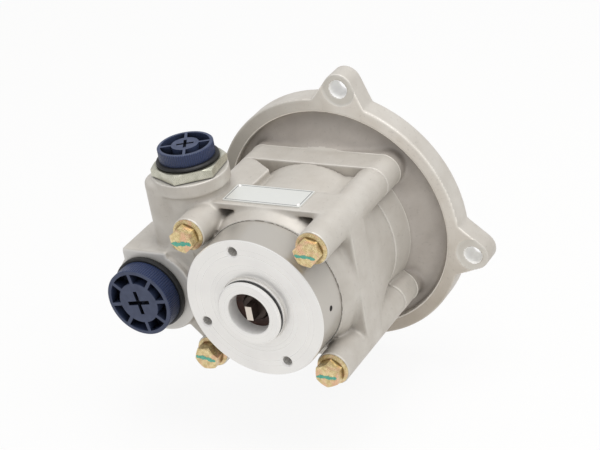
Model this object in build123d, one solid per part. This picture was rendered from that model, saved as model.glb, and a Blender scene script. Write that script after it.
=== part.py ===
from build123d import *
import math
import os

# Power steering vane pump for a lorry engine, in millimetres.
# The shaft lies along Y. The drive end is +Y, the pad for a second pump is -Y and the pressure port is +Z.
# The origin is the centre of the engine mounting face on the shaft axis.

# Stations along the shaft, from the mounting face back to the pad
foot_height = 40.5        # mounting face to the joint between bell and body
body_length = 73.7        # joint to the mouth of the cover bore
cover_reach = 26.3        # how far the cover stands out of the body
joint_y = -foot_height
mouth_y = joint_y - body_length
pad_y = mouth_y - cover_reach

# Bell flange
rim_radius = 95.4
rim_width = 10.2
rim_inner_radius = rim_radius - rim_width
rim_depth = 16.1
dish_depth = 6.6          # deepest place of the dish, below the front of the rim
foot_radius = 59.5
foot_draft = 1.7
foot_edge = 20.0          # length of the drafted foot before the dish drops away
boss_length = 30.6        # the column bosses and the flat top end inside the dish wall
back_wall = 1.5           # the back of the dish lies this far inside the mounting face
pilot_step = 12.9         # flat ring of the mounting face outside the pilot
pilot_radius = rim_radius - pilot_step
pilot_length = 6.0
pilot_wall = 8.0
ear_reach = 9.6           # from the rim to the hole circle
ear_circle = rim_radius + ear_reach
ear_radius = 11.2
ear_root_radius = 24.0     # the ears widen towards the rim
ear_first_angle = 80.3
ear_count = 4
ear_hole_radius = 6.6
# Slope of the dish between foot and rim, as shares of its width and of its fall from the foot's edge
dish_profile = ((0.062, 0.236), (0.179, 0.436), (0.409, 0.636), (0.642, 0.836), (0.829, 0.982), (0.914, 1.0))
spotface_radius = 12.6
spotface_depth = 0.8

# Corner columns and the long bolts in them
column_x = 47.0
column_z = 46.2
column_radius = 12.0
column_boss_radius = 12.2
bolt_seat_y = pad_y + 9.5
bolt_radius = 5.0
bolt_gap = 0.25
thread_gap = 0.05
bolt_grip_in_bell = 24.0
bolt_hex_flats = 16.0
bolt_hex_height = 8.4
bolt_flange_radius = 11.3
bolt_flange_height = 2.0
bolt_chamfer_radius = 7.6  # where the chamfer of the hexagon meets the end face
bolt_chamfer_angle = 30.0
bolt_turns = (8.0, -20.0, 23.0, -14.0)    # how far each tightened head is turned

# Pump body
barrel_radius = 57.4
mouth_land = 1.0
dome_length = 13.0
cover_bore_radius = 52.1
cover_bore_depth = 22.7
cartridge_bore_radius = 47.0
plate_front = 8.2         # from the mouth to the front edge of the top plate
plate_length = 27.5
plate_thickness = 5.0
plate_backing = 12.0
frame_plan = (             # the level frame beside the neck, in X and Y
    (-47.0, -78.5),
    (-24.5, -79.0),
    (-24.0, -54.2),
    (-40.4, -42.8),
    (-47.0, joint_y),
)
shelf_x = 24.0             # low shelf beside the right column
shelf_z = 50.5
side_plate_front = 14.5
side_plate_length = 19.7   # flat part of a side wall, before it turns round to the barrel
side_plate_depth = 18.0

# Suction port on the left, facing the rear
suction_x = -95.0
suction_z = -9.0
suction_boss_x = -90.5     # the cast boss is a little off the port, towards the body
suction_boss_radius = 32.0
suction_boss_round = 2.0
suction_block_left = -113.5
suction_block_right = -76.0
suction_block_top = 23.2
suction_block_length = 40.0
suction_face_y = pad_y + 19.0
suction_boss_length = 56.0
suction_bore_radius = 19.0
suction_bore_depth = 40.0
arm_front = 3.5
arm_length = 55.0
arm_shelf_plan = (         # the level shelf between the squared boss and the body, in X and Y
    (-110.5, -118.0),
    (-56.0, -118.0),
    (-56.0, -63.0),
    (-100.0, -63.0),
    (-110.5, -81.5),
)
# Ends of the arms as X, Z and radius, each kept just inside what it runs into
arm_ends = ((-78.5, -9.0, 19.0), (-55.0, -9.0, 19.0))
ramp_ends = ((-74.0, 13.2, 9.8), (-47.0, 36.2, 11.0))
web_ends = ((-65.0, -23.0, 14.0), (-47.0, -46.2, 11.6))

# Pressure port on top, over the flow control valve
pressure_x = -63.0
pressure_y = pad_y + 49.0
pressure_face_z = 74.2
pressure_boss_radius = 26.8
pressure_collar_height = 10.0
pressure_neck_radius = 24.4
pressure_boss_foot_z = 18.0
shoulder_offset_x = -14.5
shoulder_offset_y = -8.3
shoulder_radius = 16.0
shoulder_drop = 2.0
shoulder_round = 3.5
neck_rib_left = -67.0      # flat rib from the left column up to the neck
neck_rib_front = -113.5
neck_rib_foot_z = 30.0
adapter_thread_radius = 16.0
adapter_socket_depth = 13.2
valve_radius = 8.0
valve_fit = 0.05
valve_floor_z = 6.0

# Rear cover, a turned part
cover_radius = 52.0
pad_chamfer = 0.7
spigot_radius = 23.5
spigot_length = 7.8
spigot_bore_radius = 15.4
pad_hole_circle = 42.95
pad_hole_angles = (101.5, 201.1, 294.6)
pad_hole_radius = 3.4     # tapping size of M8
pad_hole_depths = (18.0, 17.0, 16.0)
weep_hole_y = pad_y + 12.0
weep_hole_radius = 2.0
ring_gap = 0.05

# Shaft, bearing and cartridge
journal_radius = 10.0
journal_fit = 0.04
bearing_bore_radius = 12.5
bearing_outer_radius = 26.0
bearing_width = 15.0
bearing_height = bearing_outer_radius - bearing_bore_radius
bearing_pitch_radius = bearing_bore_radius + bearing_height / 2
ball_share = 0.585        # ball diameter as a share of the height of the bearing
race_share = 0.2          # from the pitch circle to the shoulder of a race
cage_share = 0.09         # half the wall of the cage
ball_radius = bearing_height * ball_share / 2
ball_count = 9
rotor_radius = 31.6
rotor_width = 21.9
cam_width = 22.0
cam_radius = 46.6
cam_small_radius = 32.3
cam_lift = 4.0
vane_count = 10
vane_thickness = 2.0
vane_root_radius = 22.0
vane_tip_radius = 32.0
front_plate_thickness = 9.0
rear_plate_thickness = 12.0
side_plate_radius = 46.85


def cyl_y(radius, y_from, y_to, x=0.0, z=0.0):
    middle = (y_from + y_to) / 2
    return Pos(x, middle, z) * Rot(X=90) * Cylinder(radius, abs(y_to - y_from))


def cyl_z(radius, z_from, z_to, x, y):
    return Pos(x, y, (z_from + z_to) / 2) * Cylinder(radius, abs(z_to - z_from))


def ring_y(outer, inner, y_from, y_to):
    return cyl_y(outer, y_from, y_to) - cyl_y(inner, y_from - 1, y_to + 1)


def box_between(x_range, y_range, z_range):
    size = [abs(high - low) for low, high in (x_range, y_range, z_range)]
    centre = [(high + low) / 2 for low, high in (x_range, y_range, z_range)]
    return Pos(*centre) * Box(*size)


# A closed outline of (radius, y) points turned round the shaft axis
def turned(points):
    return revolve(make_face(Polyline(*points, close=True)), Axis.Y)


# A closed outline of (radius, z) points turned round an upright axis
def turned_z(points, x, y):
    outline = Polyline(*[(radius, 0, z) for radius, z in points], close=True)
    return Pos(x, y, 0) * revolve(make_face(outline), Axis.Z)


# A flat outline in X and Z, carried from y_from towards the rear
def carried(outline, y_from, y_to):
    plane = Plane(origin=(0, y_from, 0), x_dir=(1, 0, 0), z_dir=(0, -1, 0))
    return extrude(plane * outline, y_from - y_to)


def hull_of_circles(circles):
    with BuildSketch() as sketch:
        with BuildLine():
            for x, z, radius in circles:
                CenterArc((x, z), radius, 0, 360)
        make_hull()
    return sketch.sketch


def round_ring(major, minor, y):
    return Pos(0, y, 0) * Rot(X=90) * Torus(major, minor)


def polar(radius, degrees):
    angle = math.radians(degrees)
    return radius * math.cos(angle), radius * math.sin(angle)


column_places = [(sx * column_x, sz * column_z) for sx in (-1, 1) for sz in (-1, 1)]
ear_angles = [ear_first_angle + 360 / ear_count * n for n in range(ear_count)]

# Bell flange: the drafted foot, the dish, the rim with its ears, and the seats of bearing and seal
front_seal_bore = 20.0
front_seal_depth = 10.0
shaft_passage = 13.5
passage_length = 4.0
hub_recess = 7.0
circlip_width = 1.5
circlip_depth = 1.6
bearing_y = joint_y + passage_length + front_seal_depth
bearing_end_y = bearing_y + bearing_width
pilot_groove_depth = 2.2
pilot_groove_width = 3.0
body_groove_radius = 49.0
body_groove_width = 2.8
body_groove_depth = 1.9
pin_circle = 41.0
pin_radius = 2.5
pin_gap = 0.05
pin_depth = 4.0
dish_y = -(rim_depth - dish_depth)


def make_bell_flange():
    rim_y = -rim_depth
    foot_y = joint_y + foot_edge
    groove_y = bearing_end_y + 0.1
    dish_width = rim_inner_radius - foot_radius
    outline = [
        (shaft_passage, joint_y),
        (foot_radius - foot_draft, joint_y),
        (foot_radius, foot_y),
        *[(foot_radius + dish_width * u, foot_y + (dish_y - foot_y) * v) for u, v in dish_profile],
        (rim_inner_radius - 0.7, dish_y - 0.9),
        (rim_inner_radius, dish_y - 2.4),
        (rim_inner_radius, rim_y + 0.6),
        (rim_inner_radius + 0.6, rim_y),
        (rim_radius - 0.8, rim_y),
        (rim_radius, rim_y + 0.8),
        (rim_radius, 0),
        (pilot_radius, 0),
        (pilot_radius, (pilot_length - pilot_groove_width) / 2),
        (pilot_radius - pilot_groove_depth, (pilot_length - pilot_groove_width) / 2),
        (pilot_radius - pilot_groove_depth, (pilot_length + pilot_groove_width) / 2),
        (pilot_radius, (pilot_length + pilot_groove_width) / 2),
        (pilot_radius, pilot_length - 0.5),
        (pilot_radius - 0.5, pilot_length),
        (pilot_radius - pilot_wall, pilot_length),
        (pilot_radius - pilot_wall - 1.2, -back_wall),
        (foot_radius - 4, -back_wall),
        (foot_radius - 12, -hub_recess),
        (bearing_outer_radius, -hub_recess),
        (bearing_outer_radius, groove_y + circlip_width),
        (bearing_outer_radius + circlip_depth, groove_y + circlip_width),
        (bearing_outer_radius + circlip_depth, groove_y),
        (bearing_outer_radius, groove_y),
        (bearing_outer_radius, bearing_y),
        (front_seal_bore, bearing_y),
        (front_seal_bore, joint_y + passage_length),
        (shaft_passage, joint_y + passage_length),
    ]
    bell = turned(outline)
    top_z = column_z + column_radius
    bell -= box_between((-rim_radius, rim_radius), (joint_y - 1, foot_y), (top_z, rim_radius))
    top_end_y = joint_y + boss_length
    bell += box_between((-column_x, column_x), (joint_y, top_end_y), (column_z - 10, top_z))
    for x, z in column_places:
        bell += cyl_y(column_boss_radius, joint_y, top_end_y, x, z)
    for angle in ear_angles:
        ear_x, ear_z = polar(ear_circle, angle)
        root_x, root_z = polar(rim_radius - 16, angle)
        ear = hull_of_circles([(ear_x, ear_z, ear_radius), (root_x, root_z, ear_root_radius)])
        ear = carried(ear, 0, rim_y)
        bell += ear - cyl_y((rim_radius + rim_inner_radius) / 2, rim_y - 1, 1)
    for angle in ear_angles:
        ear_x, ear_z = polar(ear_circle, angle)
        bell -= cyl_y(ear_hole_radius, rim_y - 1, 1, ear_x, ear_z)
        bell -= cyl_y(spotface_radius, rim_y - 1, rim_y + spotface_depth, ear_x, ear_z)
    for x, z in column_places:
        bell -= cyl_y(bolt_radius + thread_gap, joint_y - 1, joint_y + bolt_grip_in_bell + 3, x, z)
    groove_outer = body_groove_radius + body_groove_width
    bell -= ring_y(groove_outer, body_groove_radius, joint_y - 2, joint_y + body_groove_depth)
    for side in (-1, 1):
        bell -= cyl_y(pin_radius + pin_gap, joint_y - 1, joint_y + pin_depth, side * pin_circle, 0)
    return bell


# The barrel of the body with its rounded front dome round the mouth
def make_barrel():
    with BuildSketch() as section:
        with BuildLine():
            mouth = (cover_bore_radius + mouth_land, mouth_y)
            crown = (barrel_radius, mouth_y + dome_length)
            Line((20, mouth_y), mouth)
            Spline(mouth, crown, tangents=((0.55, 1), (0, 1)))
            Polyline(crown, (barrel_radius, joint_y), (20, joint_y), (20, mouth_y))
        make_face()
    return revolve(section.sketch, Axis.Y)


# A side wall that is flat between two columns at the front and follows the barrel at the joint
def make_side_wall():
    front_y = mouth_y + side_plate_front
    bend_y = front_y + side_plate_length
    inner_x = column_x - side_plate_depth
    outer_x = column_x + column_radius
    back_z = column_z - 4
    back_x = math.sqrt(barrel_radius**2 - back_z**2)

    def section(y, half_height, corner_x, bulge_x):
        low, high = (corner_x, y, -half_height), (corner_x, y, half_height)
        if bulge_x > corner_x:
            edge = ThreePointArc(low, (bulge_x, y, 0), high)
        else:
            edge = Line(low, high)
        rest = Polyline(high, (inner_x, y, half_height), (inner_x, y, -half_height), low)
        return make_face([*edge.edges(), *rest.edges()])

    flat = box_between((inner_x, outer_x), (front_y, bend_y), (-column_z, column_z))
    bend = section(bend_y, column_z, outer_x, outer_x)
    back = section(joint_y, back_z, back_x, barrel_radius)
    return flat + loft([bend, back], ruled=True)


def make_top_plate():
    top_z = column_z + column_radius
    front_y = mouth_y + plate_front
    back_y = front_y + plate_length
    plate = box_between((-column_x, column_x), (front_y, back_y), (top_z - plate_thickness, top_z))
    backing = box_between(
        (-column_x, column_x), (back_y - plate_backing, back_y), (column_z - 22, top_z)
    )
    rest_z = column_z - 10
    frame = Pos(0, 0, rest_z) * extrude(make_face(Polyline(*frame_plan, close=True)), top_z - rest_z)
    shelf = box_between((shelf_x, column_x), (back_y - 0.5, joint_y), (rest_z, shelf_z))
    return plate + backing + frame + shelf


# The suction boss is round below and squared off on top
def make_suction_boss():
    face = suction_face_y
    width = suction_block_right - suction_block_left
    middle_x = (suction_block_right + suction_block_left) / 2
    height = suction_block_top - suction_z
    block = Pos(middle_x, suction_z + height / 2) * RectangleRounded(width, height, 2.5)
    outline = block + Pos(suction_boss_x, suction_z) * Circle(suction_boss_radius)
    boss = carried(outline, face + suction_block_length, face)
    boss = fillet(boss.faces().sort_by(Axis.Y)[0].outer_wire().edges(), suction_boss_round)
    tail_y = face + suction_boss_length
    tail = cyl_y(suction_boss_radius - 0.2, face + 10, tail_y, suction_boss_x, suction_z)
    return boss + tail


def add_ports(body):
    arm_y = suction_face_y + arm_front
    arm_end_y = arm_y + arm_length
    shelf_height = suction_block_top - suction_z
    shelf = extrude(make_face(Polyline(*arm_shelf_plan, close=True)), shelf_height)
    body += Pos(0, 0, suction_z) * shelf
    body += make_suction_boss()
    body += carried(hull_of_circles(arm_ends), arm_end_y - 0.7, arm_y + 0.7)
    body += carried(hull_of_circles(ramp_ends), arm_end_y - 1.1, arm_y + 1.1)
    body += carried(hull_of_circles(web_ends), arm_end_y - 1.6, arm_y + 0.3)
    collar_z = pressure_face_z - pressure_collar_height
    body += cyl_z(pressure_neck_radius, pressure_boss_foot_z, collar_z, pressure_x, pressure_y)
    body += cyl_z(pressure_boss_radius, collar_z, pressure_face_z, pressure_x, pressure_y)
    shoulder_x = pressure_x + shoulder_offset_x
    shoulder_y = pressure_y + shoulder_offset_y
    shoulder_top = pressure_face_z - shoulder_drop
    shoulder = cyl_z(shoulder_radius, 0, shoulder_top, shoulder_x, shoulder_y)
    shoulder = fillet(shoulder.edges().sort_by(Axis.Z)[-1], shoulder_round)
    rib_top = column_z + column_radius - 0.2
    body += box_between(
        (neck_rib_left, 1 - column_x), (neck_rib_front, pressure_y), (neck_rib_foot_z, rib_top)
    )
    return body + shoulder


lock_ring_y = mouth_y + 4.6
lock_ring_wire = 1.1
lock_groove_width = 2.4
lock_groove_depth = 1.2
gallery_radius = 4.0
gallery_z = 20.0


def make_pump_body():
    body = make_barrel()
    for x, z in column_places:
        body += cyl_y(column_radius, bolt_seat_y, joint_y, x, z)
    wall = make_side_wall()
    body += wall
    body += Rot(Y=90) * wall
    body += make_top_plate()
    body = add_ports(body)
    cover_seat_y = mouth_y + cover_bore_depth
    body -= cyl_y(cover_bore_radius, bolt_seat_y - 5, cover_seat_y)
    body -= cyl_y(cartridge_bore_radius, cover_seat_y - 1, joint_y + 1)
    groove = lock_groove_width / 2
    body -= cyl_y(cover_bore_radius + lock_groove_depth, lock_ring_y - groove, lock_ring_y + groove)
    for x, z in column_places:
        body -= cyl_y(bolt_radius + bolt_gap, bolt_seat_y - 1, joint_y + 1, x, z)
    bore_end = suction_face_y + suction_bore_depth
    body -= cyl_y(suction_bore_radius, suction_face_y - 1, bore_end, suction_x, suction_z)
    inlet_y = cover_seat_y + 10
    inlet_reach = suction_x + suction_bore_radius / 2
    body -= Pos((inlet_reach - 40) / 2, inlet_y, suction_z) * Rot(Y=90) * Cylinder(8, -inlet_reach - 40)
    socket_z = pressure_face_z - adapter_socket_depth
    socket = adapter_thread_radius + thread_gap
    body -= cyl_z(socket, socket_z, pressure_face_z + 1, pressure_x, pressure_y)
    valve = valve_radius + valve_fit
    body -= cyl_z(valve, valve_floor_z, socket_z + 1, pressure_x, pressure_y)
    gallery_y = cover_seat_y + 4.5
    gallery_length = -pressure_x - 40
    gallery = Rot(Y=90) * Cylinder(gallery_radius, gallery_length)
    body -= Pos(-40 - gallery_length / 2, gallery_y, gallery_z) * gallery
    return body


seal_pocket_depth = 17.8
bush_outer_radius = 13.0
bush_length = 24.0
cover_end_y = mouth_y + cover_bore_depth
bush_y = pad_y - spigot_length + seal_pocket_depth
cover_groove_y = mouth_y + 12.0
cover_groove_width = 3.4
cover_ring_wire = 1.3
spigot_groove_width = 2.9
spigot_ring_wire = 1.15


def make_rear_cover():
    nose_y = pad_y - spigot_length
    lock = lock_groove_width / 2
    outline = [
        (spigot_bore_radius, nose_y + 0.6),
        (spigot_bore_radius + 0.6, nose_y),
        (spigot_radius - 1.1, nose_y),
        (spigot_radius, nose_y + 1.1),
        (spigot_radius, nose_y + 2.3),
        (spigot_radius - 2.3, nose_y + 2.3),
        (spigot_radius - 2.3, nose_y + 2.3 + spigot_groove_width),
        (spigot_radius, nose_y + 2.3 + spigot_groove_width),
        (spigot_radius, pad_y - 0.9),
        (spigot_radius - 0.7, pad_y - 0.4),
        (spigot_radius - 0.7, pad_y + 0.4),
        (spigot_radius + 0.4, pad_y + 0.4),
        (spigot_radius + 1.0, pad_y),
        (cover_radius - pad_chamfer, pad_y),
        (cover_radius, pad_y + pad_chamfer),
        (cover_radius, lock_ring_y - lock),
        (cover_radius - lock_groove_depth, lock_ring_y - lock),
        (cover_radius - lock_groove_depth, lock_ring_y + lock),
        (cover_radius, lock_ring_y + lock),
        (cover_radius, cover_groove_y),
        (cover_radius - 2 * cover_ring_wire, cover_groove_y),
        (cover_radius - 2 * cover_ring_wire, cover_groove_y + cover_groove_width),
        (cover_radius, cover_groove_y + cover_groove_width),
        (cover_radius, cover_end_y),
        (journal_radius + 1, cover_end_y),
        (journal_radius + 1, bush_y + bush_length),
        (bush_outer_radius, bush_y + bush_length),
        (bush_outer_radius, bush_y),
        (spigot_bore_radius, bush_y),
    ]
    cover = turned(outline)
    for angle, depth in zip(pad_hole_angles, pad_hole_depths):
        x, z = polar(pad_hole_circle, angle)
        cover -= cyl_y(pad_hole_radius, pad_y - 1, pad_y + depth, x, z)
        cone = Cone(pad_hole_radius + 0.9, pad_hole_radius, 0.9)
        cover -= Pos(x, pad_y + 0.45, z) * Rot(X=-90) * cone
    weep = Rot(Y=90) * Cylinder(weep_hole_radius, 12)
    cover -= Pos(cover_radius - 5, weep_hole_y, 0) * weep
    return cover


def make_clamp_bolts():
    bolts = []
    head_y = bolt_seat_y - bolt_flange_height - bolt_hex_height
    end_y = joint_y + bolt_grip_in_bell
    hexagon = RegularPolygon(bolt_hex_flats / 2, 6, major_radius=False)
    cone_length = bolt_hex_height + 2
    cone_foot = bolt_chamfer_radius + cone_length / math.tan(math.radians(bolt_chamfer_angle))
    for (x, z), turn in zip(column_places, bolt_turns):
        bolt = cyl_y(bolt_radius, bolt_seat_y - 0.5, end_y, x, z)
        bolt += cyl_y(bolt_flange_radius, bolt_seat_y - 1.0, bolt_seat_y, x, z)
        flare = Cone(bolt_flange_radius, bolt_flange_radius - 1.9, bolt_flange_height - 1.0)
        flare_y = bolt_seat_y - 1.0 - (bolt_flange_height - 1.0) / 2
        bolt += Pos(x, flare_y, z) * Rot(X=90) * flare
        head = carried(Pos(x, z) * Rot(Z=turn) * hexagon, bolt_seat_y - 1.0, head_y)
        chamfer_cone = Cone(cone_foot, bolt_chamfer_radius, cone_length)
        cone_middle = head_y + cone_length / 2
        bolts.append(bolt + (head & (Pos(x, cone_middle, z) * Rot(X=90) * chamfer_cone)))
    return Compound(children=bolts)


def make_lock_ring():
    middle = (cover_radius + cover_bore_radius) / 2
    wire = round_ring(middle, lock_ring_wire, lock_ring_y)
    gap = box_between((-4, 4), (lock_ring_y - 3, lock_ring_y + 3), (-middle - 5, -middle + 5))
    return wire - gap


# Rear shaft seal with its lip on the shaft end, seen through the spigot
shaft_end_radius = 9.0
rear_seal_width = 6.5
rear_seal_y = bush_y - rear_seal_width


def make_lip_seal(outer, shaft, y_from, width):
    outline = [
        (outer, y_from),
        (outer, y_from + width),
        (outer - 1.6, y_from + width),
        (outer - 1.6, y_from + 1.8),
        (shaft + 2.0, y_from + 1.8),
        (shaft + 1.6, y_from + width * 0.7),
        (shaft + journal_fit, y_from + width * 0.55),
        (shaft + journal_fit, y_from + width * 0.42),
        (shaft + 0.9, y_from),
    ]
    return turned(outline)


spline_count = 10
spline_tooth = 3.0
spline_height = 1.5
spline_fit = 0.05
plate_joint_y = joint_y - front_plate_thickness
cam_end_y = plate_joint_y - cam_width
rear_plate_y = cam_end_y - rear_plate_thickness
rotor_y = plate_joint_y - (cam_width - rotor_width) / 2
collar_width = 1.7
collar_radius = 14.6
bearing_lock_width = 1.2
taper_start = bearing_end_y + 4.0
taper_length = 28.0
taper_end_radius = 9.5
thread_radius = 8.0
thread_length = 18.0
tang_width = 4.8
tang_height = 10.4
tang_length = 8.0
shaft_end_y = pad_y + 1.5
key_radius = 8.0
key_width = 5.0
key_y = taper_start + 13.0
key_centre_z = 11.0


def spline_teeth(y_from, y_to, grow):
    teeth = []
    height = journal_radius + spline_height + grow
    width = spline_tooth + 2 * grow
    for n in range(spline_count):
        tooth = box_between((-width / 2, width / 2), (y_from, y_to), (5, height))
        teeth.append(Rot(Y=360 / spline_count * n) * tooth)
    return teeth


def make_drive_shaft():
    front_journal_y = joint_y - 6.5
    lock_y = bearing_end_y + 0.05
    outline = [
        (0, shaft_end_y),
        (shaft_end_radius - 0.6, shaft_end_y),
        (shaft_end_radius, shaft_end_y + 0.6),
        (shaft_end_radius, bush_y - 0.2),
        (journal_radius, bush_y + 0.8),
        (journal_radius, front_journal_y),
        (bearing_bore_radius, front_journal_y),
        (bearing_bore_radius, bearing_y - collar_width),
        (collar_radius, bearing_y - collar_width),
        (collar_radius, bearing_y),
        (bearing_bore_radius, bearing_y),
        (bearing_bore_radius, lock_y),
        (bearing_bore_radius - 0.9, lock_y),
        (bearing_bore_radius - 0.9, lock_y + bearing_lock_width + 0.1),
        (bearing_bore_radius, lock_y + bearing_lock_width + 0.1),
        (bearing_bore_radius, taper_start),
        (taper_end_radius, taper_start + taper_length),
        (thread_radius, taper_start + taper_length),
        (thread_radius, taper_start + taper_length + thread_length - 1.2),
        (thread_radius - 1.2, taper_start + taper_length + thread_length),
        (0, taper_start + taper_length + thread_length),
    ]
    shaft = turned(outline)
    tang = box_between(
        (-tang_width / 2, tang_width / 2),
        (shaft_end_y - tang_length, shaft_end_y + 1),
        (-tang_height / 2, tang_height / 2),
    )
    shaft += tang
    for tooth in spline_teeth(cam_end_y + 0.1, front_journal_y + 1, 0):
        shaft += tooth
    slot = Pos(0, key_y, key_centre_z) * Rot(Y=90) * Cylinder(key_radius, key_width)
    return shaft - slot


def make_woodruff_key():
    disc = Pos(0, key_y, key_centre_z) * Rot(Y=90) * Cylinder(key_radius - 0.03, key_width - 0.06)
    return disc & box_between((-5, 5), (key_y - 20, key_y + 20), (0, key_centre_z + 2.4))


nut_flats = 24.0
nut_height = 13.0
washer_thickness = 2.5
nut_y = taper_start + taper_length + washer_thickness


def make_shaft_nut():
    blank = carried(RegularPolygon(nut_flats / 2, 6, major_radius=False), nut_y + nut_height, nut_y)
    cone = Rot(X=-90) * Cone(nut_flats / 2 * 1.75, nut_flats / 2 * 0.95, nut_height + 3)
    blank = blank & (Pos(0, nut_y + (nut_height + 3) / 2, 0) * cone)
    return blank - cyl_y(thread_radius + thread_gap, nut_y - 1, nut_y + nut_height + 1)


def make_race(inner, outer):
    race = ring_y(outer, inner, bearing_y, bearing_end_y)
    middle = (bearing_y + bearing_end_y) / 2
    return race - round_ring(bearing_pitch_radius, ball_radius + 0.06, middle)


def ball_places():
    middle = (bearing_y + bearing_end_y) / 2
    for n in range(ball_count):
        x, z = polar(bearing_pitch_radius, 360 / ball_count * n)
        yield Pos(x, middle, z)


def make_cage():
    middle = (bearing_y + bearing_end_y) / 2
    half = ball_radius + 1.1
    wall = bearing_height * cage_share
    cage = ring_y(bearing_pitch_radius + wall, bearing_pitch_radius - wall, middle - half, middle + half)
    for n in range(ball_count):
        pocket = Rot(Y=90) * Cylinder(ball_radius + 0.05, 8)
        cage -= Rot(Y=-360 / ball_count * n) * Pos(bearing_pitch_radius, middle, 0) * pocket
    return cage


def make_circlip(outer, inner, y_from, width, lug_side):
    ring = ring_y(outer, inner, y_from, y_from + width)
    middle = (outer + inner) / 2
    gap = box_between((-3, 3), (y_from - 1, y_from + width + 1), (-outer - 3, -inner + 3))
    ring -= gap
    for side in (-1, 1):
        lug = cyl_y(1.9, y_from, y_from + width, side * 4.4, -middle + lug_side)
        ring += lug - cyl_y(0.8, y_from - 1, y_from + width + 1, side * 4.4, -middle + lug_side)
        ring -= cyl_y(0.8, y_from - 1, y_from + width + 1, side * 4.4, -middle + lug_side)
    return ring


def make_rotor():
    rotor = cyl_y(rotor_radius, rotor_y, rotor_y - rotor_width)
    slot_width = vane_thickness + 0.08
    slot_root = vane_root_radius - 0.6
    for n in range(vane_count):
        turn = Rot(Y=360 / vane_count * n)
        y_range = (rotor_y - rotor_width - 1, rotor_y + 1)
        slot = box_between((-slot_width / 2, slot_width / 2), y_range, (slot_root, rotor_radius + 2))
        slot += cyl_y(1.7, y_range[0], y_range[1], 0, slot_root)
        rotor -= turn * slot
    rotor -= cyl_y(journal_radius + 0.06, rotor_y - rotor_width - 1, rotor_y + 1)
    for tooth in spline_teeth(rotor_y - rotor_width - 1, rotor_y + 1, spline_fit):
        rotor -= tooth
    return rotor


def make_vanes():
    vanes = []
    limit = cyl_y(vane_tip_radius, rotor_y + 1, rotor_y - rotor_width - 1)
    half = vane_thickness / 2
    for n in range(vane_count):
        blade = box_between(
            (-half, half), (rotor_y - rotor_width, rotor_y), (vane_root_radius, vane_tip_radius + 1)
        )
        vanes.append(Rot(Y=360 / vane_count * n) * (blade & limit))
    return Compound(children=vanes)


def pin_holes(y_from, y_to):
    return [cyl_y(pin_radius + pin_gap, y_from, y_to, side * pin_circle, 0) for side in (-1, 1)]


# The bore of the cam ring has two lobes: its radius rises and falls twice in one turn
def make_cam_ring():
    steps = 24
    points = []
    for n in range(steps):
        angle = 2 * math.pi * n / steps
        radius = cam_small_radius + cam_lift * (1 - math.cos(2 * angle)) / 2
        points.append((radius * math.cos(angle), radius * math.sin(angle)))
    bore = make_face(Spline(*points, periodic=True))
    ring = cyl_y(cam_radius, plate_joint_y, cam_end_y)
    ring -= carried(bore, plate_joint_y + 1, cam_end_y - 1)
    for hole in pin_holes(cam_end_y - 1, plate_joint_y + 1):
        ring -= hole
    return ring


# Side plates close the ends of the cartridge; curved ports feed and empty the vane chambers
port_radius = 28.5
port_width = 4.4
port_sweep = 44.0


def make_side_plate(y_from, thickness, hole_radius, through):
    plate = cyl_y(side_plate_radius, y_from, y_from - thickness)
    plate -= cyl_y(hole_radius, y_from + 1, y_from - thickness - 1)
    far_y = y_from - thickness
    for n in range(4):
        start = 45 + 90 * n - port_sweep / 2
        port = SlotArc(CenterArc((0, 0), port_radius, start, port_sweep), port_width)
        low, high = (far_y - 1, y_from + 1) if through else (far_y - 1, far_y + thickness / 2)
        plate -= carried(port, high, low)
    for hole in pin_holes(far_y - 1, y_from + 1):
        plate -= hole
    return plate


def make_spring(radius, wire, height, turns):
    path = Helix(height / turns, height, radius)
    start = path.position_at(0)
    section = Plane(origin=start, z_dir=path.tangent_at(0)) * Circle(wire)
    return sweep(section, path, is_frenet=True)


spring_wire = 1.5
spring_coil_radius = 36.0
spring_space = cover_end_y - rear_plate_y
cartridge_spring_gap = 0.03


def make_cartridge_spring():
    height = -spring_space - 2 * spring_wire - 2 * cartridge_spring_gap
    spring = make_spring(spring_coil_radius, spring_wire, height, 1.75)
    return Pos(0, rear_plate_y - spring_wire - cartridge_spring_gap, 0) * Rot(X=90) * spring


rear_ring_wire = 1.3
rear_ring_inset = 4.0


def make_rear_side_plate():
    plate = make_side_plate(cam_end_y, rear_plate_thickness, journal_radius + 1, True)
    groove_y = cam_end_y - rear_ring_inset
    outer = side_plate_radius
    groove = ring_y(outer + 2, outer - 2 * rear_ring_wire + 0.1, groove_y - 3.2, groove_y)
    return plate - groove


adapter_flats = 46.0
adapter_turn = 37.3
adapter_chamfer_radius = 23.8
adapter_hex_height = 6.6
adapter_washer_thickness = 0.8
adapter_washer_inset = 4.0   # the washer lies back under the hexagon
adapter_shank_length = 12.2
adapter_bore_radius = 12.1
adapter_bore_depth = 11.0
orifice_radius = 3.0
adapter_z = pressure_face_z + adapter_washer_thickness
adapter_top_z = adapter_z + adapter_hex_height
adapter_end_z = pressure_face_z - adapter_shank_length


def make_pressure_adapter():
    hexagon = Rot(Z=adapter_turn) * RegularPolygon(adapter_flats / 2, 6, major_radius=False)
    head = Pos(pressure_x, pressure_y, adapter_z) * extrude(hexagon, adapter_hex_height)
    cone_foot = adapter_chamfer_radius + adapter_hex_height / math.tan(math.radians(bolt_chamfer_angle))
    cone = Cone(cone_foot, adapter_chamfer_radius, adapter_hex_height)
    head &= Pos(pressure_x, pressure_y, adapter_z + adapter_hex_height / 2) * cone
    shank = cyl_z(adapter_thread_radius, adapter_end_z, adapter_z, pressure_x, pressure_y)
    adapter = head + shank
    bore_z = adapter_top_z - adapter_bore_depth
    adapter -= cyl_z(adapter_bore_radius, bore_z, adapter_top_z + 1, pressure_x, pressure_y)
    adapter -= cyl_z(orifice_radius, adapter_end_z - 1, bore_z + 1, pressure_x, pressure_y)
    return adapter


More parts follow.
